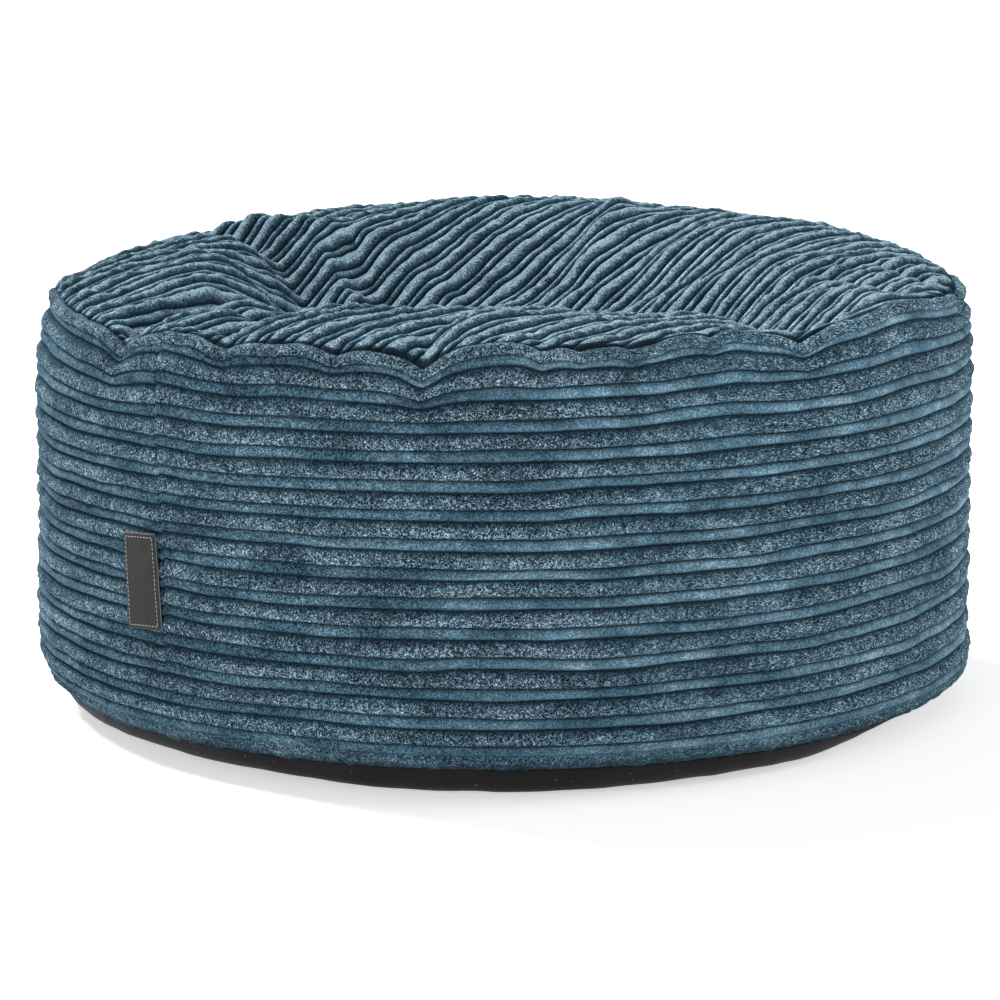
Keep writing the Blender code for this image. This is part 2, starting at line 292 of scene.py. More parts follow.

# the pile's tones. speck, clump, grain: strength of the tufts, their clumps and the finest grain;
# wide, narrow: base tone of each kind of wale, set apart for the top and the side partly as painted
# light and shade; fine, patch: grain and patches of the narrow ones; near: painted shade on
# the side of a wale that comes first; far: painted shade on a wide one's other side, except at the
# right; groove_shade: painted shade between wales; left: painted shade on the narrow wales at the
# left; right: painted light on all at the right; hairs: how far the tufts turn into level hairs at
# the right; streak, mottle: strength of level streaks and of wide patches; mixed: how tufted the
# narrow wales are at the left; sheen: weight of the shader's sheen
TOP_LOOK = {
    "speck": 0.86, "clump": 0.26, "grain": 0.34,
    "wide": 0.345, "narrow": 0.590, "fine": 0.30, "patch": 0.24,
    "near": 0.38, "far": 1.0, "groove_shade": 0.03, "left": 1.0, "right": 1.17,
    "hairs": 0.0, "streak": 0.0, "mottle": 0.20, "mixed": 0.0, "sheen": 0.14,
}
SIDE_LOOK = {
    "speck": 0.70, "clump": 0.20, "grain": 0.30,
    "wide": -0.015, "narrow": 0.48, "fine": 0.20, "patch": 0.13,
    "near": 1.0, "far": 0.80, "groove_shade": 0.44, "left": 0.74, "right": 1.09,
    "hairs": 1.0, "streak": 0.16, "mottle": 0.10, "mixed": 0.78, "sheen": 0.08,
}

CAMERA_PLACE = (-0.0023, -2.274, 0.5258)
CAMERA_DIP = 10.03
CAMERA_LENS = 128.3

# soft suns: name, azimuth, elevation, strength and spread in degrees
SUNS = [
    ("key", -132.0, 46.0, 4.8, 14.0),
    ("edge", 100.0, 20.0, 1.6, 30.0),
    ("front", -15.0, 12.0, 0.95, 40.0),
]
SKY_STRENGTH = 0.34


def turn(degrees):
    """The same direction, from -180 to 180 degrees."""
    return (degrees + 180.0) % 360.0 - 180.0


def smooth(t):
    t = np.clip(t, 0.0, 1.0)
    return t * t * (3.0 - 2.0 * t)


def above(value, start, reach):
    """0 up to a start and 1 from a reach above it, softly joined."""
    return smooth((value - start) / reach)


def under(value, start, reach):
    """0 from a start upward and 1 from a reach below it, softly joined."""
    return smooth((start - value) / reach)


def fading(distance, reach):
    """1 where a distance is nought and 0 from a reach on, softly joined."""
    return smooth(1.0 - distance / reach)


def bell(distance, width):
    return np.exp(-(distance / width) ** 2)


def local(azimuth, at, width, amount):
    """An amount that fades away to both sides of an azimuth."""
    return amount * bell(turn(azimuth - at), width)


def pinch(distance, width):
    """A bell with a sharper tip, for cloth that is caught in a seam."""
    return np.exp(-np.sqrt((distance / width) ** 2 + 0.03) ** 1.35)


def notch_depth(azimuth, below=0.0):
    """How far the puckers draw the cloth down at a distance below the rim seam."""
    total = 0.0
    least, depths = NOTCH_REACH
    for at, width, depth in NOTCHES:
        reach = least + depths * depth
        total = total + depth * pinch(turn(azimuth - at), width) * fading(below, reach)
    return total


def swell(azimuth, below=0.0):
    """How far the rim swells up at a distance below its seam."""
    return sum(local(azimuth, *place) for place in SWELLS) * fading(below, SWELL_REACH)


def lean(azimuth):
    """How much higher the rim stands on the right than on average."""
    return LEAN * np.sin(np.radians(azimuth))


def seam_height(azimuth):
    return SEAM_HEIGHT + lean(azimuth) + swell(azimuth) - notch_depth(azimuth)


def side_radius(height):
    return np.interp(height, *np.array(SIDE_PROFILE).T)


def chance(i, j, k, seed):
    """A repeatable number from 0 to 1 for each whole-number cell."""
    n = (i * 73856093) ^ (j * 19349663) ^ (k * 83492791) ^ (seed * 2654435761)
    n = n & 0xFFFFFFFF
    n = ((n ^ (n >> 15)) * 2246822519) & 0xFFFFFFFF
    n = ((n ^ (n >> 13)) * 3266489917) & 0xFFFFFFFF
    return ((n ^ (n >> 16)) & 0xFFFFFFFF) / 4294967295.0


def noise(points, size, seed):
    """Soft random values from -1 to 1 that change over about the given size."""
    p = points / size
    cell = np.floor(p).astype(np.int64)
    part = p - cell
    part = part * part * part * (part * (part * 6.0 - 15.0) + 10.0)
    total = 0.0
    for i in (0, 1):
        wi = part[..., 0] if i else 1.0 - part[..., 0]
        for j in (0, 1):
            wj = part[..., 1] if j else 1.0 - part[..., 1]
            for k in (0, 1):
                wk = part[..., 2] if k else 1.0 - part[..., 2]
                value = chance(cell[..., 0] + i, cell[..., 1] + j, cell[..., 2] + k, seed)
                total = total + wi * wj * wk * value
    return 2.0 * total - 1.0


def layers(points, settings):
    """Noise in layers, each with its amount, size and seed."""
    return sum(amount * noise(points, size, seed) for amount, size, seed in settings)


def plan(x, y):
    """Points at height 0, for noise that changes in plan alone."""
    return np.stack([x, y, np.zeros_like(x)], -1)


def around(radius, angle, height):
    """Points at a radius, an angle from the front and a height."""
    radius, angle, height = np.broadcast_arrays(radius, angle, height)
    return np.stack([radius * np.sin(angle), -radius * np.cos(angle), height], -1)


def crest(azimuth):
    """Crest height, crest radius and floor radius of the roll at each azimuth."""
    place = (turn(azimuth) + 180.0) / CREST_STEP
    low = np.floor(place).astype(int)
    share = smooth(place - low)[..., None]
    found = CREST[low % len(CREST)] * (1.0 - share) + CREST[(low + 1) % len(CREST)] * share
    return RADIUS * found[..., 0], RADIUS * found[..., 1], RADIUS * found[..., 2]


def fold_height(x, y, corners, width, height, fade, power):
    """Height that one fold adds, by the distance from its line of corners."""
    points = RADIUS * np.array(corners)
    lengths = np.hypot(*(points[1:] - points[:-1]).T)
    nearest = np.full(x.shape, 1.0)
    along = np.zeros(x.shape)
    passed = 0.0
    for (ax, ay), (bx, by), length in zip(points, points[1:], lengths):
        share = np.clip(((x - ax) * (bx - ax) + (y - ay) * (by - ay)) / length ** 2, 0.0, 1.0)
        gap = np.hypot(x - ax - share * (bx - ax), y - ay - share * (by - ay))
        closer = gap < nearest
        nearest = np.where(closer, gap, nearest)
        along = np.where(closer, (passed + share * length) / lengths.sum(), along)
        passed += length
    ends = smooth(along / fade) * smooth((1.0 - along) / fade)
    return height * ends * np.exp(-(nearest / (width * RADIUS)) ** power)


def bunching(x, y):
    """Soft lumps, and short waves along the wales where the cloth is gathered."""
    angle = math.radians(TOP_ANGLE)
    along = x * math.cos(angle) + y * math.sin(angle)
    over = y * math.cos(angle) - x * math.sin(angle)
    waves = noise(plan(along, 0.42 * over), 0.016, 5)
    waves = waves + 0.5 * noise(plan(along, 0.6 * over), 0.009, 7)
    crowd = sum(share * bell(np.hypot(x - at_x, y - at_y), width) for at_x, at_y, width, share in CROWDS)
    shallow, deep = WAVE_DEPTH
    return layers(plan(x, y), TOP_LUMPS) + waves * (shallow + deep * crowd)


def top_height(x, y):
    """Height of the top panel's cloth, without its wales."""
    azimuth = np.degrees(np.arctan2(x, -y))
    radius = np.hypot(x, y)
    rim = seam_height(azimuth)
    high, crest_radius, floor_radius = crest(azimuth)
    share = np.clip((radius - crest_radius) / (SEAM_RADIUS - crest_radius), 0.0, 1.0)
    softer = 0.5 + local(azimuth, *SOFT_SHOULDER)
    outer = rim + (high - rim) * (1.0 - share ** SHOULDER_POWER) ** softer
    floor = DENT_FLOOR * RADIUS
    share = (radius - floor_radius) / (crest_radius - floor_radius)
    inner = floor + (high - floor) * smooth(share)
    height = np.where(radius > crest_radius, outer, inner)
    inside = under(radius, SEAM_RADIUS, FOLD_MARGIN)
    for fold in FOLDS:
        height = height + inside * fold_height(x, y, *fold)
    return height + under(radius, SEAM_RADIUS, STILL_EDGE) * bunching(x, y)


def bulge(share):
    """How far a wale stands up at a share of its width, from 0 to 1."""
    power, root = BULGE_POWERS
    return (1.0 - abs(2.0 * share - 1.0) ** power) ** root


def wale_steps(first, last, phase, pitch, half):
    """Offset, wale mask, share and rise of each row of points across the cord, between limits."""
    rows = []
    low = int(math.floor((first - phase) / pitch)) - 1
    high = int(math.ceil((last - phase) / pitch)) + 1
    for i in range(low, high + 1):
        middle = phase + i * pitch
        for t in WIDE_STEPS:
            rows.append((middle + pitch * half * (2.0 * t - 1.0), 1.0, t, bulge(t ** WIDE_SKEW)))
        for t in NARROW_STEPS:
            rows.append((middle + pitch * (half + (1.0 - 2.0 * half) * t), 0.0, t, bulge(t)))
    return [row for row in rows if first < row[0] < last]


def make_mesh(name, points, faces, cord=None):
    """A smooth mesh of faces with equal numbers of sides, with the cord's values where given."""
    mesh = bpy.data.meshes.new(name)
    mesh.vertices.add(len(points))
    mesh.vertices.foreach_set("co", np.asarray(points, dtype=np.float32).ravel())
    faces = np.asarray(faces, dtype=np.int32)
    sides = faces.shape[1]
    mesh.loops.add(faces.size)
    mesh.loops.foreach_set("vertex_index", faces.ravel())
    mesh.polygons.add(len(faces))
    mesh.polygons.foreach_set("loop_start", np.arange(0, faces.size, sides, dtype=np.int32))
    mesh.polygons.foreach_set("use_smooth", np.ones(len(faces), dtype=bool))
    mesh.update(calc_edges=True)
    mesh.validate()
    if cord is not None:
        layer = mesh.attributes.new("cord", "FLOAT_COLOR", "POINT")
        values = np.ones((len(points), 4), dtype=np.float32)
        values[:, :3] = cord
        layer.data.foreach_set("color", values.ravel())
    thing = bpy.data.objects.new(name, mesh)
    bpy.context.scene.collection.objects.link(thing)
    return thing


def grid_faces(rows, columns, closed):
    """Quads of a grid of points, row after row, whose rows may be rings."""
    across = columns if closed else columns - 1
    i, j = np.meshgrid(np.arange(rows - 1), np.arange(across), indexing="ij")
    low, high = i * columns, (i + 1) * columns
    k = (j + 1) % columns
    return np.stack([low + j, low + k, high + k, high + j], -1).reshape(-1, 4)


def build_top(name, first, last):
    """The top: straight wales in plan, draped over the roll, the dent and the folds."""
    rows = wale_steps(first, last, TOP_PHASE, PITCH, TOP_HALF)
    if first < -0.99 * SEAM_RADIUS:
        rows.insert(0, (first, 1.0, 0.0, 0.0))
    if last > 0.99 * SEAM_RADIUS:
        rows.append((last, 1.0, 1.0, 0.0))
    offset, wide, across, rise = np.array(rows).T[:, :, None]
    half = np.sqrt(SEAM_RADIUS ** 2 - offset ** 2)
    t = np.linspace(-1.0, 1.0, TOP_COLUMNS)[None, :]
    along = half * (0.6 * t + 0.4 * np.sin(0.5 * np.pi * t))
    drift = layers(plan(along, 2.0 * offset + 0 * along), TOP_DRIFT)
    drift = drift * under(np.abs(along), half, STILL_EDGE)
    drift = drift * under(np.abs(offset), SEAM_RADIUS, STILL_EDGE)
    over = offset + drift
    angle = math.radians(TOP_ANGLE)
    x = along * math.cos(angle) - over * math.sin(angle)
    y = along * math.sin(angle) + over * math.cos(angle)
    height = top_height(x, y)
    slope_x = (top_height(x + SLOPE_STEP, y) - top_height(x - SLOPE_STEP, y)) / (2.0 * SLOPE_STEP)
    slope_y = (top_height(x, y + SLOPE_STEP) - top_height(x, y - SLOPE_STEP)) / (2.0 * SLOPE_STEP)
    steep = np.sqrt(1.0 + slope_x ** 2 + slope_y ** 2)
    outward = np.stack([-slope_x, -slope_y, np.ones_like(x)], -1)
    radius = np.hypot(x, y)
    place = np.stack([x, y, height], -1)

    tufted = 1.0 + (0.10 + 0.90 * wide) * layers(place, TOP_TUFT)
    lift = np.where(wide > 0.5, *TOP_RISE) * rise * tufted
    lift = lift * (0.40 + 0.60 * under(radius, SEAM_RADIUS, 0.010))
    lift = lift - TOP_SINK * under(radius, SEAM_RADIUS, 0.014)
    points = place + (lift / steep)[..., None] * outward
    over = np.hypot(points[..., 0], points[..., 1]) / (SEAM_RADIUS + EDGE_LIMIT)
    points[..., :2] /= np.maximum(over, 1.0)[..., None]

    edge = radius > SEAM_RADIUS - EDGE_STRIP
    tucked = TUCK_RADIUS * place[..., :2] / radius[..., None]
    points[..., :2] = np.where(edge[..., None], tucked, points[..., :2])
    points[..., 2] = np.where(edge, height - TUCK_DEPTH, points[..., 2])
    azimuth = np.degrees(np.arctan2(x, -y))
    proud = above(points[..., 2], seam_height(azimuth), 0.012) * fading(SEAM_RADIUS - radius, 0.060)
    pushed = proud * local(azimuth, *TOP_PUSHED)
    points[..., :2] *= (1.0 + pushed / SEAM_RADIUS)[..., None]

    # the wale mask, the share across, and the rise that sets painted shade, faded to nought over the
    # last 4 mm before the seam: painted shade where the top's edge tucks under the rim's wale
    cord = np.stack([
        np.broadcast_to(wide, x.shape),
        np.broadcast_to(across, x.shape),
        rise * under(radius, SEAM_RADIUS, 0.0040),
    ], -1)
    faces = grid_faces(len(rows), TOP_COLUMNS, False)
    return make_mesh(name, points.reshape(-1, 3), faces[:, ::-1], cord.reshape(-1, 3))


def side_azimuths():
    """Columns all round, with a few close ones on each side of the closing seam."""
    even = -180.0 + 360.0 * np.arange(SIDE_COLUMNS) / SIDE_COLUMNS
    even = even[np.abs(even - CLOSING_SEAM) > 0.9]
    close = np.array(SEAM_COLUMNS)
    return np.sort(np.concatenate([even, CLOSING_SEAM - close, CLOSING_SEAM + close]))


def side_rows():
    """Height, radius, wale mask, share and rise of the side's rows, from its lower edge up."""
    rows = list(UNDER_ROWS)
    for share in HEM_SHARES:
        height = 0.0176 + 0.0085 * share
        radius = 0.2880 + 0.0062 * math.sin(1.5 * share)
        # the hem's rise, which sets its tufts and its painted shade, grows upward: painted shade, darker
        # towards the bottom
        rows.append((height, radius, 1.0, share, 0.25 + 0.65 * share))
    low = LOWEST_WALE - PITCH * (1.0 - SIDE_HALF)
    for height, wide, across, rise in wale_steps(low, ROLL_FOOT, LOWEST_WALE, SIDE_PITCH, SIDE_HALF):
        lift = rise * (SIDE_RISE[0] if wide else SIDE_RISE[1])
        rows.append((height, side_radius(height) - SIDE_RISE[0] + lift, wide, across, rise))
    for share in ROLL_SHARES:
        bend = math.radians(ROLL_BEND[0] + ROLL_BEND[1] * share)
        height = ROLL_MIDDLE[0] + ROLL_HALF[0] * math.sin(bend)
        radius = ROLL_MIDDLE[1] + ROLL_HALF[1] * math.cos(bend)
        rows.append((height, radius, 1.0, 0.8 * share, math.sin(math.pi * share) ** 0.5))
    rows.append(ROLL_END)
    return np.array(rows).T


def build_side(name, first, last):
    """Rows first to last of the level wales, with the rolled rim, puckers and closing seam."""
    azimuth = side_azimuths()[None, :]
    height, radius, wide, across, rise = (values[first:last, None] for values in side_rows())
    below = SEAM_HEIGHT - height
    drawn = notch_depth(azimuth, below)
    z = height + lean(azimuth) * height / SEAM_HEIGHT + swell(azimuth, below) - drawn
    z = np.where(height < HEM_TOP, height, z)
    r = radius - NOTCH_PINCH * drawn - local(azimuth, *RIM_DRAWN) * fading(below, 0.045)
    sunk = np.where(height < ROLL_FOOT, side_radius(height) - radius, 0.0)
    r = r + local(azimuth, *SHALLOW_WALES) * np.maximum(sunk, 0.0)
    r = r + local(azimuth, *LOW_BULGE) * under(height, 0.050, 0.032)
    seam_gap = turn(azimuth - CLOSING_SEAM)
    angle = np.radians(azimuth + (0.55 - 1.6 * height / SEAM_HEIGHT) * bell(seam_gap, 5.0))

    place = around(RADIUS, angle, z)
    flattened = place * np.array([1.0, 1.0, 3.0])
    upright = place * np.array([1.0, 1.0, 0.2])
    r = r + layers(place, SIDE_OUT)
    z = z + above(height, 0.02, 0.03) * layers(flattened, SIDE_UP)
    r = r + SIDE_RISE[0] * rise * (0.2 + 0.8 * wide) * layers(place, SIDE_TUFT)
    rolled = above(height, 0.2500, 0.0045)
    r = r + rolled * layers(upright, ROLL_OUT)
    z = z + rolled * layers(upright, ROLL_UP)
    fringe = under(height, 0.027, 0.008) * above(height, 0.0172, 0.0003)
    z = z + fringe * layers(place, FRINGE_UP)
    r = r + fringe * layers(flattened, FRINGE_OUT)
    r = r - SEAM_GROOVE * bell(seam_gap, 0.14) * above(height, 0.02, 0.01)
    z = z + SEAM_STEP * np.sign(seam_gap) * bell(seam_gap, 4.0) * above(height, 0.03, 0.05)

    points = around(r, angle, z)
    shape = points.shape[:2]
    cord = np.stack([np.broadcast_to(values, shape) for values in (wide, across, rise)], -1)
    return make_mesh(name, points.reshape(-1, 3), grid_faces(*shape, True), cord.reshape(-1, 3))


def build_base():
    """The black cloth under the drum: a shallow rounded edge and a flat face on the floor."""
    height, radius = (values[:, None] for values in np.array(BASE_PROFILE).T)
    azimuth = -180.0 + 360.0 * np.arange(BASE_COLUMNS)[None, :] / BASE_COLUMNS
    angle = np.radians(azimuth)
    place = around(radius, angle, height)
    edge = above(radius, 0.270, 0.01)
    r = radius + edge * layers(place, BASE_OUT)
    outer = above(radius, 0.235, 0.045)
    flat = bell(turn(azimuth + 8.0), np.where(azimuth > -8.0, 42.0, 26.0))
    lift = EDGE_LIFT * (1.0 - FLAT_SHARE * flat) * outer
    lift = lift + RIGHT_LIFT * above(azimuth, 38.0, 26.0) * under(azimuth, 136.0, 30.0) * outer
    lift = np.minimum(lift * (1.0 + layers(place, BASE_LIFT)), MOST_LIFT)
    z = height + lift * under(height, BASE_HEIGHT, BASE_HEIGHT)
    z = z + edge * under(height, BASE_HEIGHT, 0.004) * 0.0006 * (1.0 + noise(place, 0.018, 47))
    points = around(r, angle, z)
    return make_mesh("base_cloth", points.reshape(-1, 3), grid_faces(*points.shape[:2], True))


def label_point(u, v, out):
    """A point on the label, from its lower left corner, that stands out from the drum."""
    out += LABEL_CURL * (1.0 - v / LABEL_TALL) * (1.0 - u / LABEL_WIDE)
    u, v = u - 0.5 * LABEL_WIDE, v - 0.5 * LABEL_TALL
    tilt = math.radians(LABEL_TILT)
    along, up = u * math.cos(tilt) - v * math.sin(tilt), u * math.sin(tilt) + v * math.cos(tilt)
    angle = math.radians(LABEL_MIDDLE) + along / RADIUS
    r = RADIUS + LABEL_GAP + out
    return (r * math.sin(angle), -r * math.cos(angle), LABEL_HEIGHT + up)


def round_corner(u, v):
    """Draw a point of the label's corner in, so that the corner is round."""
    near_u = min(u, LABEL_WIDE - u)
    near_v = min(v, LABEL_TALL - v)
    if near_u >= LABEL_CORNER or near_v >= LABEL_CORNER:
        return u, v
    far = max(LABEL_CORNER - near_u, LABEL_CORNER - near_v)
    pull = far / math.hypot(LABEL_CORNER - near_u, LABEL_CORNER - near_v)
    mid_u = LABEL_CORNER if u < LABEL_WIDE / 2.0 else LABEL_WIDE - LABEL_CORNER
    mid_v = LABEL_CORNER if v < LABEL_TALL / 2.0 else LABEL_TALL - LABEL_CORNER
    return mid_u + (u - mid_u) * pull, mid_v + (v - mid_v) * pull


def build_label():
    """A thin leather tab with softly rounded corners, left bare."""
    columns, rows = LABEL_COLUMNS, LABEL_ROWS
    points, faces = [], []
    for side in (0, 1):
        for j in range(rows + 1):
            for i in range(columns + 1):
                u, v = LABEL_WIDE * i / columns, LABEL_TALL * j / rows
                border = min(u, LABEL_WIDE - u, v, LABEL_TALL - v)
                dip = 0.00022 * bell(border - STITCH_INSET, 0.0006)
                front = LABEL_THICK * (0.55 + 0.45 * smooth(border / 0.0012)) - dip
                points.append(label_point(*round_corner(u, v), front if side else 0.0))
    size = (rows + 1) * (columns + 1)
    for j in range(rows):
        for i in range(columns):
            a = j * (columns + 1) + i
            b, c, d = a + 1, a + columns + 2, a + columns + 1
            faces.append((a + size, b + size, c + size, d + size))
            faces.append((a, d, c, b))
    for i in range(columns):
        a, b = i, i + 1
        faces.append((a, b, b + size, a + size))
        a, b = rows * (columns + 1) + i, rows * (columns + 1) + i + 1
        faces.append((b, a, a + size, b + size))
    for j in range(rows):
        a, b = j * (columns + 1), (j + 1) * (columns + 1)
        faces.append((b, a, a + size, b + size))
        a, b = a + columns, b + columns
        faces.append((a, b, b + size, a + size))
    return make_mesh("label_tab", points, faces)


def build_stitches():
    """Short pale stitches a little inside the label's border."""
    points, faces = [], []
    low, wide, tall = STITCH_INSET, LABEL_WIDE - 2.0 * STITCH_INSET, LABEL_TALL - 2.0 * STITCH_INSET
    runs = [((low, low), (1.0, 0.0), wide), ((low, low + tall), (1.0, 0.0), wide),
            ((low, low), (0.0, 1.0), tall), ((low + wide, low), (0.0, 1.0), tall)]
    for (u0, v0), (du, dv), length in runs:
        count = int(round(length / STITCH_PITCH))
        for i in range(count):
            start = length * (i + 0.5 * (1.0 - STITCH_SHARE)) / count
            first = len(points)
            for k in range(STITCH_BENDS + 1):
                s = start + length / count * STITCH_SHARE * k / STITCH_BENDS
                arch = STITCH_HALF * math.sin(math.pi * k / STITCH_BENDS)
                for corner in range(STITCH_SIDES):
                    bend = math.tau * corner / STITCH_SIDES
                    side = STITCH_HALF * math.cos(bend)
                    out = LABEL_THICK - 0.00012 + arch + 0.00020 * math.sin(bend)
                    points.append(label_point(u0 + du * s + dv * side, v0 + dv * s + du * side, out))
            for k in range(STITCH_BENDS):
                for corner in range(STITCH_SIDES):
                    a = first + STITCH_SIDES * k + corner
                    b = first + STITCH_SIDES * k + (corner + 1) % STITCH_SIDES
                    faces.append((a, b, b + STITCH_SIDES, a + STITCH_SIDES))
    return make_mesh("label_stitches", points, faces)


class Tree:
    """A material's node tree, with a short way to add and join its nodes."""

    def __init__(self, name):
        self.material = bpy.data.materials.new(name)
        self.material.use_nodes = True
        self.nodes = self.material.node_tree.nodes
        self.links = self.material.node_tree.links
        self.shader = self.nodes["Principled BSDF"]

    def add(self, kind, **settings):
        node = self.nodes.new(kind)
        for key, value in settings.items():
            setattr(node, key, value)
        return node

    def put(self, socket, value):
        if isinstance(value, bpy.types.NodeSocket):
            self.links.new(value, socket)
        else:
            socket.default_value = value

    def finish(self, **values):
        """Set the shader's own values, each named as its socket with low lines for spaces."""
        for name, value in values.items():
            self.put(self.shader.inputs[name.replace("_", " ")], value)

    def place(self):
        return self.add("ShaderNodeTexCoord").outputs["Object"]

    def maths(self, operation, a, b):
        node = self.add("ShaderNodeMath", operation=operation)
        self.put(node.inputs[0], a)
        self.put(node.inputs[1], b)
        return node.outputs[0]

    def plus(self, a, b):
        return self.maths("ADD", a, b)

    def times(self, a, b):
        return self.maths("MULTIPLY", a, b)

    def swing(self, value, middle, amount):
        """How far a value lies above its middle, times an amount."""
        return self.times(self.maths("SUBTRACT", value, middle), amount)

    def span(self, value, low, high, to_low=0.0, to_high=1.0, soft=False):
        """A value's place between two limits, mapped to two others and held between them."""
        node = self.add("ShaderNodeMapRange", clamp=True)
        node.interpolation_type = "SMOOTHSTEP" if soft else "LINEAR"
        self.put(node.inputs["Value"], value)
        node.inputs["From Min"].default_value = low
        node.inputs["From Max"].default_value = high
        node.inputs["To Min"].default_value = to_low
        node.inputs["To Max"].default_value = to_high
        return node.outputs["Result"]

    def noise(self, scale, detail=2.0, roughness=0.55, distortion=0.0, stretch=None):
        place = self.place()
        if stretch:
            mapping = self.add("ShaderNodeMapping")
            mapping.inputs["Scale"].default_value = stretch
            self.links.new(place, mapping.inputs["Vector"])
            place = mapping.outputs["Vector"]
        node = self.add("ShaderNodeTexNoise", noise_dimensions="3D")
        self.links.new(place, node.inputs["Vector"])
        node.inputs["Scale"].default_value = scale
        node.inputs["Detail"].default_value = detail
        node.inputs["Roughness"].default_value = roughness
        node.inputs["Distortion"].default_value = distortion
        return node.outputs["Fac"]

    def ramp(self, value, stops):
        node = self.add("ShaderNodeValToRGB")
        elements = node.color_ramp.elements
        while len(elements) < len(stops):
            elements.new(0.5)
        for element, (place, colour) in zip(elements, stops):
            element.position = place
            element.color = (*colour, 1.0)
        self.put(node.inputs["Fac"], value)
        return node.outputs["Color"]

    def blend(self, share, a, b):
        """Numbers mixed from a to b."""
        node = self.add("ShaderNodeMix", data_type="FLOAT")
        self.put(node.inputs[0], share)
        self.put(node.inputs[2], a)
        self.put(node.inputs[3], b)
        return node.outputs[0]

    def bump(self, height, distance, strength=1.0):
        node = self.add("ShaderNodeBump")
        node.inputs["Strength"].default_value = strength
        node.inputs["Distance"].default_value = distance
        self.put(node.inputs["Height"], height)
        self.links.new(node.outputs["Normal"], self.shader.inputs["Normal"])


def cord_material(name, look):
    """Cut pile: tufted on the wide wales and smooth on the narrow ones, with painted shade between them
    and on one side of each, and painted light at the right.
    """
    tree = Tree(name)
    cord = tree.add("ShaderNodeAttribute", attribute_name="cord").outputs["Color"]
    parts = tree.add("ShaderNodeSeparateColor")
    tree.put(parts.inputs["Color"], cord)
    wide, across, rise = parts.outputs
    spot = tree.add("ShaderNodeSeparateXYZ")
    tree.put(spot.inputs["Vector"], tree.place())
    side_x = spot.outputs["X"]

    tufts = tree.span(tree.noise(980.0, 1.0, 0.5, 1.2), 0.41, 0.60)
    hairs = tree.span(tree.noise(1450.0, 1.0, 0.5, 0.8, stretch=(0.40, 0.40, 1.0)), 0.36, 0.66)
    speckle = tree.blend(tree.span(side_x, 0.0, 0.20, 0.0, look["hairs"], soft=True), tufts, hairs)
    clump = tree.span(tree.noise(150.0, 2.0, 0.6, 1.0), 0.36, 0.64)
    tufted = tree.plus(tree.times(speckle, look["speck"]), tree.times(clump, look["clump"]))
    tufted = tree.plus(tufted, look["wide"])

    fine = tree.span(tree.noise(800.0, 0.0, 0.5), 0.34, 0.66)
    patchy = tree.span(tree.noise(60.0, 2.0, 0.6), 0.36, 0.64)
    plain = tree.plus(tree.times(fine, look["fine"]), look["narrow"] - 0.5 * look["fine"])
    plain = tree.plus(plain, tree.swing(patchy, 0.5, look["patch"]))
    # painted shade: the narrow wales darker at the left
    plain = tree.times(plain, tree.span(side_x, -0.25, 0.0, look["left"], 1.0, soft=True))
    mixed = tree.span(side_x, -0.13, 0.10, look["mixed"], 0.0, soft=True)
    plain = tree.blend(mixed, plain, tree.times(tufted, 0.80))

    mottle = tree.span(tree.noise(24.0, 2.0, 0.5), 0.30, 0.70)
    streaks = tree.span(tree.noise(64.0, 2.0, 0.55, stretch=(0.28, 0.28, 1.0)), 0.40, 0.64)
    grain = tree.span(tree.noise(1750.0, 0.0, 0.5), 0.36, 0.64, -0.5, 0.5)
    tone = tree.blend(wide, plain, tufted)
    # painted light: all wales lighter at the right
    tone = tree.times(tone, tree.span(side_x, -0.12, 0.16, 1.0, look["right"], soft=True))
    tone = tree.plus(tone, tree.swing(mottle, 0.5, look["mottle"]))
    tone = tree.plus(tone, tree.swing(streaks, 0.42, look["streak"]))
    tone = tree.plus(tone, tree.times(grain, tree.blend(wide, 0.55 * look["grain"], look["grain"])))

    # painted shade across each wale: darker on the side that comes first, and on a wide one's upper side
    # except at the right
    tone = tree.times(tone, tree.span(across, 0.0, 0.50, look["near"], 1.0, soft=True))
    upper = tree.times(tree.span(across, 0.45, 0.88, soft=True), wide)
    shade = tree.span(side_x, 0.04, 0.20, look["far"], 1.0, soft=True)
    tone = tree.times(tone, tree.blend(upper, 1.0, shade))
    # painted shade where the cord's rise is low: in the grooves between wales, at the top's edge, under
    # the side's edge and at the hem's foot
    tone = tree.times(tone, tree.span(rise, 0.10, 0.85, look["groove_shade"], 1.0, soft=True))
    colour = tree.ramp(tone, [
        (0.0, (0.003, 0.010, 0.017)),
        (0.30, (0.022, 0.055, 0.082)),
        (0.60, (0.096, 0.182, 0.242)),
        (1.0, (0.430, 0.610, 0.720)),
    ])
    tree.finish(Base_Color=colour, Roughness=0.92, Specular_IOR_Level=0.05, Sheen_Weight=look["sheen"],
                Sheen_Roughness=0.38, Sheen_Tint=(0.42, 0.74, 0.92, 1.0))
    pile = tree.times(tree.plus(speckle, tree.times(clump, 1.2)), wide)
    tree.bump(tree.plus(pile, tree.times(fine, 0.20)), 0.0008)
    return tree.material


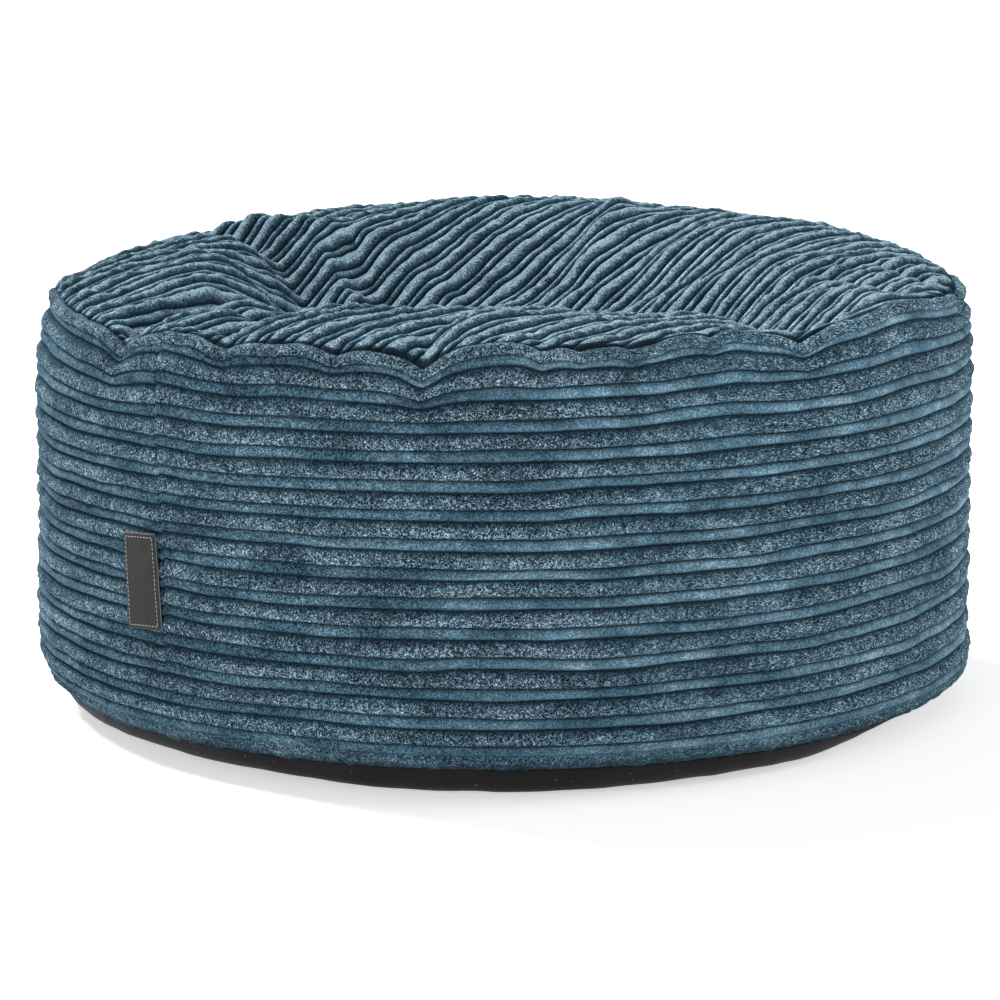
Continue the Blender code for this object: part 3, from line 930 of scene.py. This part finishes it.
def base_material():
    """Black cloth with a fine weave and a few pale specks of lint."""
    tree = Tree("black_cloth")
    grain = tree.noise(1400.0, 2.0, 0.6)
    lint = tree.span(tree.noise(420.0, 1.0, 0.5), 0.71, 0.77)
    patch = tree.span(tree.noise(30.0, 2.0, 0.5), 0.3, 0.7)
    tone = tree.plus(tree.times(patch, 0.25), tree.times(grain, 0.35))
    tone = tree.plus(tone, tree.times(lint, 0.5))
    colour = tree.ramp(tone, [
        (0.0, (0.004, 0.004, 0.005)),
        (0.5, (0.011, 0.011, 0.012)),
        (1.0, (0.11, 0.11, 0.11)),
    ])
    tree.finish(Base_Color=colour, Roughness=0.85, Specular_IOR_Level=0.2, Sheen_Weight=0.08)
    tree.bump(grain, 0.0003, 0.6)
    return tree.material


def label_material(name, dark, light):
    """Matt leather with a fine grain, light and dark in soft patches."""
    tree = Tree(name)
    grain = tree.noise(900.0, 3.0, 0.6)
    patch = tree.span(tree.noise(90.0, 3.0, 0.6), 0.3, 0.7)
    tone = tree.plus(tree.times(grain, 0.5), tree.times(patch, 0.5))
    colour = tree.ramp(tone, [(0.2, dark), (0.8, light)])
    tree.finish(Base_Color=colour, Roughness=0.62, Specular_IOR_Level=0.28)
    tree.bump(grain, 0.0002, 0.6)
    return tree.material


def thread_material():
    tree = Tree("pale_thread")
    ply = tree.noise(2600.0, 1.0)
    colour = tree.ramp(ply, [(0.3, (0.24, 0.24, 0.235)), (0.7, (0.46, 0.46, 0.45))])
    tree.finish(Base_Color=colour, Roughness=0.7)
    tree.bump(ply, 0.0001, 0.5)
    return tree.material


def floor_material():
    """A pale plain floor that glows a little, so that it stays light around the pouf."""
    tree = Tree("pale_floor")
    tree.finish(Base_Color=PALE, Emission_Color=WHITE, Emission_Strength=0.53, Roughness=1.0,
                Specular_IOR_Level=0.0)
    return tree.material


def add_sun(name, azimuth, elevation, strength, spread):
    """A soft sun that shines from an azimuth, 0 at the front, and an elevation."""
    data = bpy.data.lights.new(name, "SUN")
    data.energy = strength
    data.angle = math.radians(spread)
    lamp = bpy.data.objects.new(name, data)
    lamp.rotation_euler = (math.radians(90.0 - elevation), 0.0, math.radians(azimuth))
    bpy.context.scene.collection.objects.link(lamp)


def add_sky():
    world = bpy.data.worlds.new("studio")
    bpy.context.scene.world = world
    world.use_nodes = True
    sky = world.node_tree.nodes["Background"].inputs
    sky["Color"].default_value = WHITE
    sky["Strength"].default_value = SKY_STRENGTH


def add_camera():
    data = bpy.data.cameras.new("camera")
    data.sensor_width = 36.0
    data.lens = CAMERA_LENS
    camera = bpy.data.objects.new("camera", data)
    camera.location = CAMERA_PLACE
    camera.rotation_euler = (math.radians(90.0 - CAMERA_DIP), 0.0, 0.0)
    bpy.context.scene.collection.objects.link(camera)
    bpy.context.scene.camera = camera


def add_floor():
    mesh = bpy.data.meshes.new("floor")
    mesh.from_pydata([(-40, -10, 0), (40, -10, 0), (40, 60, 0), (-40, 60, 0)], [], [(0, 1, 2, 3)])
    floor = bpy.data.objects.new("floor", mesh)
    bpy.context.scene.collection.objects.link(floor)
    mesh.materials.append(floor_material())


def dress(thing, slot, materials, *nodes):
    """Give a piece its finish, and let it ride for the solids that it stands for."""
    for material in materials:
        thing.data.materials.append(material)
    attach(thing, "root")
    if nodes:
        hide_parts(*nodes)


# the top's two pieces share a row of points beside its twelfth wale
SHARED_WALE = 12
NUDGE = 0.00001
limit = SEAM_RADIUS - 0.0006
middle = TOP_PHASE + PITCH * (SHARED_WALE + TOP_HALF) - NUDGE
next_row = wale_steps(middle, limit, TOP_PHASE, PITCH, TOP_HALF)[0][0] + NUDGE

add_camera()
top_pile = cord_material("top_pile", TOP_LOOK)
for name, first, last in (("top_cord_front", -limit, next_row), ("top_cord_back", middle, limit)):
    top = build_top(name, first, last)
    dress(top, "cord", [top_pile], "top_panel")

side_pile = cord_material("side_pile", SIDE_LOOK)
count = len(side_rows()[0])
for name, first, last in (("side_cord_low", 0, count // 2), ("side_cord_high", count // 2 - 1, count)):
    side = build_side(name, first, last)
    dress(side, "cord", [side_pile], "side_panel")

base = build_base()
dress(base, "base_cloth", [base_material()], "base_panel")

tab = build_label()
leathers = [label_material("grey_leather", *GREY_LEATHER), label_material("cut_leather", *CUT_LEATHER)]
dress(tab, "label", leathers, "label")
for face in list(tab.data.polygons)[-2 * (LABEL_COLUMNS + LABEL_ROWS):]:
    face.material_index = 1
dress(build_stitches(), "label", [thread_material()])

add_floor()
for sun in SUNS:
    add_sun(*sun)
add_sky()
bpy.context.scene.view_settings.view_transform = "Standard"
